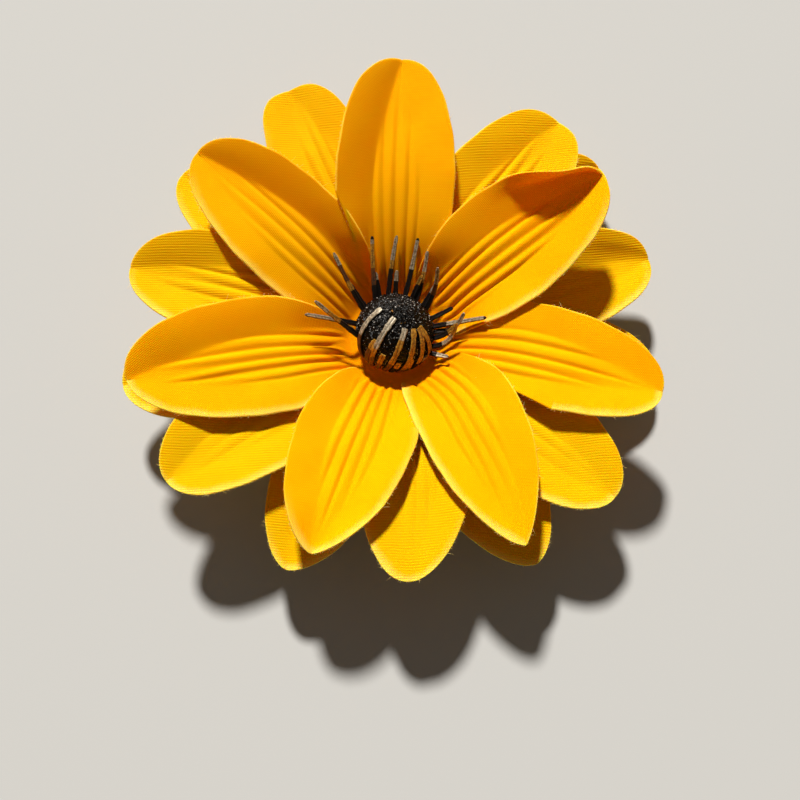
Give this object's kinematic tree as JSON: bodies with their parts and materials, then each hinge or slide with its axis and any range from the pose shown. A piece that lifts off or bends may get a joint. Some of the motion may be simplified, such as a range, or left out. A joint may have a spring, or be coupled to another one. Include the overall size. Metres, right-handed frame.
{
  "type": "artificial fabric rudbeckia flower head",
  "caption": "Artificial rudbeckia flower head lying face up: stacked yellow fabric petal layers with pressed grooves round a dark moulded centre with a fringe of strands.",
  "frame": {"origin": "centre of the back cap's flat underside, which is the face the flower head rests on", "axes": "+Z out of the flower's face, +Y towards the broad lobe of the top petal layer that points away from the camera in the picture, +X to the right seen from the face"},
  "size_m": [0.1044, 0.1032, 0.0292],
  "materials": {
    "petal_fabric_top": "woven, matt, heat pressed",
    "petal_fabric_middle": "woven, matt, heat pressed",
    "petal_fabric_bottom": "woven, matt, heat pressed",
    "stamen_plastic": "moulded, strands painted ochre and silver by hand",
    "cap_plastic": "moulded, satin"
  },
  "bodies": {
    "root": {"petals_top": "petal_fabric_top", "petals_middle": "petal_fabric_middle", "petals_bottom": "petal_fabric_bottom", "stamen_centre": "stamen_plastic", "back_cap": "cap_plastic"}
  },
  "joints": []
}
